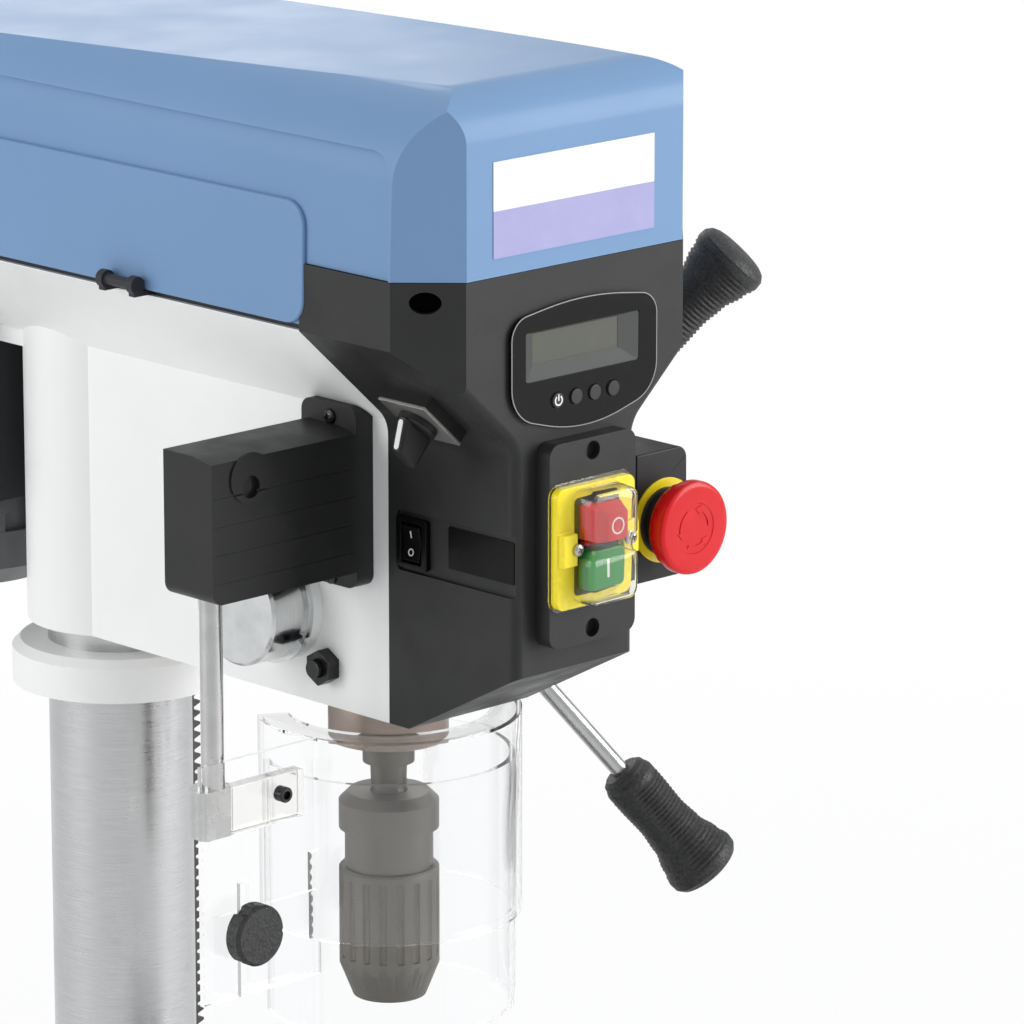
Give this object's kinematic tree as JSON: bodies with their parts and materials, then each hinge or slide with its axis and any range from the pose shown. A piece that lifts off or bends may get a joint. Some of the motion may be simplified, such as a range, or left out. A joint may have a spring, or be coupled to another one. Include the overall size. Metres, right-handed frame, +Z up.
{
  "type": "bench drill press",
  "caption": "Bench drill press with a stepped-pulley head, feed handles, a front console, a clear swing-away chuck guard, a lifting table and a slotted base.",
  "frame": {"origin": "centre of the four bolt holes on the base's underside", "axes": "+Z up along the column, -Y towards the operator, +X to the feed handles"},
  "size_m": [0.3619, 0.6, 1.0361],
  "materials": {
    "grey_casting": "satin paint over cast iron",
    "machined_iron": "ground iron",
    "column_steel": "ground and plated",
    "bright_steel": "polished",
    "dark_steel": "blackened",
    "fasteners": "zinc plated",
    "pulley_alloy": "turned",
    "belt_rubber": "cloth-backed rubber",
    "black_plastic": "fine grained moulding",
    "key_plastic": "smooth",
    "yellow_plastic": "smooth",
    "red_plastic": "smooth",
    "green_plastic": "smooth",
    "clear_plastic": "clear polycarbonate",
    "tray_steel": "powder coat",
    "motor_alloy": "painted alloy with fins",
    "blue_cover": "satin moulding"
  },
  "bodies": {
    "stand": {"base_casting": "machined_iron", "column_flange": "grey_casting", "column_flange_bolts": "fasteners", "column_tube": "column_steel", "rack_ring": "dark_steel", "head_casting": "grey_casting", "spring_cap": "bright_steel", "return_spring": "dark_steel", "belt_tray": "tray_steel", "front_console": "black_plastic", "display_bezel": "black_plastic", "switch_plate": "black_plastic", "switch_housing": "yellow_plastic", "estop_housing": "black_plastic", "rotary_plate": "pulley_alloy", "guard_switch_box": "black_plastic", "fixing_screws": "fasteners", "front_belt": "belt_rubber", "rear_belt": "belt_rubber"},
    "rack": {"table_rack": "dark_steel"},
    "table_carrier": {"table_arm": "grey_casting", "tilt_bolt": "fasteners"},
    "lift_wheel": {"lift_gear": "dark_steel"},
    "crank": {"table_crank": "dark_steel"},
    "crank_grip": {"crank_grip": "black_plastic"},
    "table_lock": {"table_lock_lever": "dark_steel"},
    "table": {"table_plate": "machined_iron"},
    "quill": {"quill_sleeve": "column_steel", "quill_bearings": "bright_steel"},
    "spindle": {"spindle_shaft": "column_steel", "chuck_body": "dark_steel"},
    "chuck_shell": {"chuck_sleeve": "dark_steel"},
    "jaw_1": {"chuck_jaw_1": "dark_steel"},
    "jaw_2": {"chuck_jaw_2": "dark_steel"},
    "jaw_3": {"chuck_jaw_3": "dark_steel"},
    "front_pulley": {"spindle_pulley": "pulley_alloy"},
    "idler_carrier": {"idler_arm": "dark_steel"},
    "idler": {"idler_pulley": "pulley_alloy"},
    "motor_carriage": {"motor_plate": "dark_steel", "motor_housing": "motor_alloy"},
    "motor_rotor": {"motor_pulley": "pulley_alloy"},
    "tension_cam": {"tension_lever": "column_steel"},
    "lid": {"belt_cover": "blue_cover"},
    "feed": {"pinion_shaft": "column_steel", "feed_hub": "black_plastic", "feed_rods": "column_steel", "feed_grips": "black_plastic"},
    "guard": {"guard_arm": "column_steel", "guard_upper_shield": "clear_plastic"},
    "guard_slide": {"guard_lower_shield": "clear_plastic"},
    "guard_clamp": {"guard_knob": "black_plastic"},
    "start": {"start_button": "green_plastic"},
    "stop": {"stop_button": "red_plastic"},
    "emergency_stop": {"estop_button": "red_plastic"},
    "lamp_rocker": {"rocker_switch": "black_plastic"},
    "mode_knob": {"rotary_knob": "black_plastic"},
    "key_1": {"display_button_1": "key_plastic"},
    "key_2": {"display_button_2": "key_plastic"},
    "key_3": {"display_button_3": "key_plastic"},
    "key_4": {"display_button_4": "key_plastic"}
  },
  "joints": [
    {"name": "table_swing", "type": "hinge", "parent": "stand", "child": "rack", "pos_m": [0, 0.135, 0.3], "axis": [0, 0, 1], "continuous": true},
    {"name": "table_lift", "type": "slide", "parent": "rack", "child": "table_carrier", "axis": [0, 0, 1], "range_m": [-0.078, 0.08]},
    {"name": "lift_gear_turn", "type": "hinge", "parent": "table_carrier", "child": "lift_wheel", "pos_m": [0.064, 0.135, 0.276], "axis": [0, 1, 0], "range_deg": [-327.9, 319.72]},
    {"name": "table_crank_turn", "type": "hinge", "parent": "table_carrier", "child": "crank", "pos_m": [0.064, 0.1212, 0.2497], "axis": [1, 0, 0], "range_deg": [-2554.26, 2619.74]},
    {"name": "crank_grip_spin", "type": "hinge", "parent": "crank", "child": "crank_grip", "pos_m": [0.1459, 0.1212, 0.3157], "axis": [1, 0, 0], "continuous": true},
    {"name": "table_lock_turn", "type": "hinge", "parent": "table_carrier", "child": "table_lock", "pos_m": [-0.067, 0.135, 0.276], "axis": [0, 1, 0], "range_deg": [0, 60]},
    {"name": "table_tilt", "type": "hinge", "parent": "table_carrier", "child": "table", "pos_m": [0, 0.027, 0.276], "axis": [0, 1, 0], "range_deg": [-45, 45]},
    {"name": "quill_feed", "type": "slide", "parent": "stand", "child": "quill", "axis": [0, 0, -1], "range_m": [0, 0.08], "stiffness_N_per_m": 400, "springref_m": -0.2},
    {"name": "feed_turn", "type": "hinge", "parent": "stand", "child": "feed", "pos_m": [0, -0.048, 0.737], "axis": [1, 0, 0], "range_deg": [-0.5, 374.68]},
    {"name": "spindle_spin", "type": "hinge", "parent": "quill", "child": "spindle", "pos_m": [0, -0.085, 0.66], "axis": [0, 0, 1], "continuous": true},
    {"name": "spindle_pulley_spin", "type": "hinge", "parent": "stand", "child": "front_pulley", "pos_m": [0, -0.085, 0.9155], "axis": [0, 0, 1], "continuous": true},
    {"name": "idler_arm_swing", "type": "hinge", "parent": "stand", "child": "idler_carrier", "pos_m": [0.05, -0.045, 0.908], "axis": [0, 0, 1], "range_deg": [-0.1, 4.7]},
    {"name": "idler_spin", "type": "hinge", "parent": "idler_carrier", "child": "idler", "pos_m": [0, 0.065, 0.9155], "axis": [0, 0, 1], "continuous": true},
    {"name": "motor_slide", "type": "slide", "parent": "stand", "child": "motor_carriage", "axis": [0, -1, 0], "range_m": [0, 0.008], "deforming": ["front_belt", "rear_belt"]},
    {"name": "motor_spin", "type": "hinge", "parent": "motor_carriage", "child": "motor_rotor", "pos_m": [0, 0.273, 0.9155], "axis": [0, 0, 1], "continuous": true},
    {"name": "tension_lever_turn", "type": "hinge", "parent": "stand", "child": "tension_cam", "pos_m": [0.043, 0.1738, 0.8606], "axis": [-1, 0, 0], "range_deg": [-0.5, 46.5]},
    {"name": "lid_open", "type": "hinge", "parent": "stand", "child": "lid", "pos_m": [-0.1116, 0.015, 0.9116], "axis": [0, -1, 0], "range_deg": [0, 100]},
    {"name": "guard_swing", "type": "hinge", "parent": "stand", "child": "guard", "pos_m": [-0.134, -0.095, 0.66], "axis": [0, 0, -1], "range_deg": [0, 110]},
    {"name": "guard_height", "type": "slide", "parent": "guard", "child": "guard_slide", "axis": [0, 0, 1], "range_m": [-0.03, 0.02]},
    {"name": "guard_knob_turn", "type": "hinge", "parent": "guard_slide", "child": "guard_clamp", "pos_m": [-0.121, -0.095, 0.582], "axis": [0, -1, 0], "range_deg": [0, 270]},
    {"name": "start_push", "type": "slide", "parent": "stand", "child": "start", "axis": [0, 1, 0], "range_m": [0, 0.003], "stiffness_N_per_m": 400, "springref_m": -0.002},
    {"name": "stop_push", "type": "slide", "parent": "stand", "child": "stop", "axis": [0, 1, 0], "range_m": [0, 0.003], "stiffness_N_per_m": 400, "springref_m": -0.002},
    {"name": "emergency_push", "type": "slide", "parent": "stand", "child": "emergency_stop", "axis": [0, 1, 0], "range_m": [0, 0.005], "stiffness_N_per_m": 500, "springref_m": -0.003},
    {"name": "rocker_tip", "type": "hinge", "parent": "stand", "child": "lamp_rocker", "pos_m": [-0.0385, -0.1505, 0.786], "axis": [0, 1, 0], "range_deg": [-9, 9]},
    {"name": "mode_turn", "type": "hinge", "parent": "stand", "child": "mode_knob", "pos_m": [-0.06182, -0.1815, 0.86586], "axis": [-0.6759, 0, -0.737], "range_deg": [0, 90]},
    {"name": "chuck_sleeve_turn", "type": "hinge", "parent": "spindle", "child": "chuck_shell", "pos_m": [0, -0.085, 0.56], "axis": [0, 0, 1], "range_deg": [0, 540]},
    {"name": "jaw_1_slide", "type": "slide", "parent": "spindle", "child": "jaw_1", "axis": [0.1736, 0, 0.9848], "range_m": [0, 0.0241]},
    {"name": "jaw_2_slide", "type": "slide", "parent": "spindle", "child": "jaw_2", "axis": [-0.0868, 0.1504, 0.9848], "range_m": [0, 0.0241]},
    {"name": "jaw_3_slide", "type": "slide", "parent": "spindle", "child": "jaw_3", "axis": [-0.0868, -0.1504, 0.9848], "range_m": [0, 0.0241]},
    {"name": "key_1_push", "type": "slide", "parent": "stand", "child": "key_1", "axis": [0, 1, 0], "range_m": [0, 0.001], "stiffness_N_per_m": 150, "springref_m": -0.001},
    {"name": "key_2_push", "type": "slide", "parent": "stand", "child": "key_2", "axis": [0, 1, 0], "range_m": [0, 0.001], "stiffness_N_per_m": 150, "springref_m": -0.001},
    {"name": "key_3_push", "type": "slide", "parent": "stand", "child": "key_3", "axis": [0, 1, 0], "range_m": [0, 0.001], "stiffness_N_per_m": 150, "springref_m": -0.001},
    {"name": "key_4_push", "type": "slide", "parent": "stand", "child": "key_4", "axis": [0, 1, 0], "range_m": [0, 0.001], "stiffness_N_per_m": 150, "springref_m": -0.001}
  ],
  "couplings": [
    {"joint": "lift_gear_turn", "follows": "table_lift", "rad_per_m": -71.429},
    {"joint": "table_crank_turn", "follows": "table_lift", "rad_per_m": 571.43},
    {"joint": "feed_turn", "follows": "quill_feed", "rad_per_m": 81.633},
    {"joint": "spindle_pulley_spin", "follows": "spindle_spin", "ratio": 1},
    {"joint": "idler_spin", "follows": "spindle_spin", "ratio": 1.2533},
    {"joint": "motor_spin", "follows": "spindle_spin", "ratio": 1.5708},
    {"joint": "idler_arm_swing", "follows": "motor_slide", "rad_per_m": 10},
    {"joint": "tension_lever_turn", "follows": "motor_slide", "rad_per_m": 100},
    {"joint": "jaw_1_slide", "follows": "chuck_sleeve_turn", "m_per_rad": 0.002546},
    {"joint": "jaw_2_slide", "follows": "chuck_sleeve_turn", "m_per_rad": 0.002546},
    {"joint": "jaw_3_slide", "follows": "chuck_sleeve_turn", "m_per_rad": 0.002546}
  ]
}
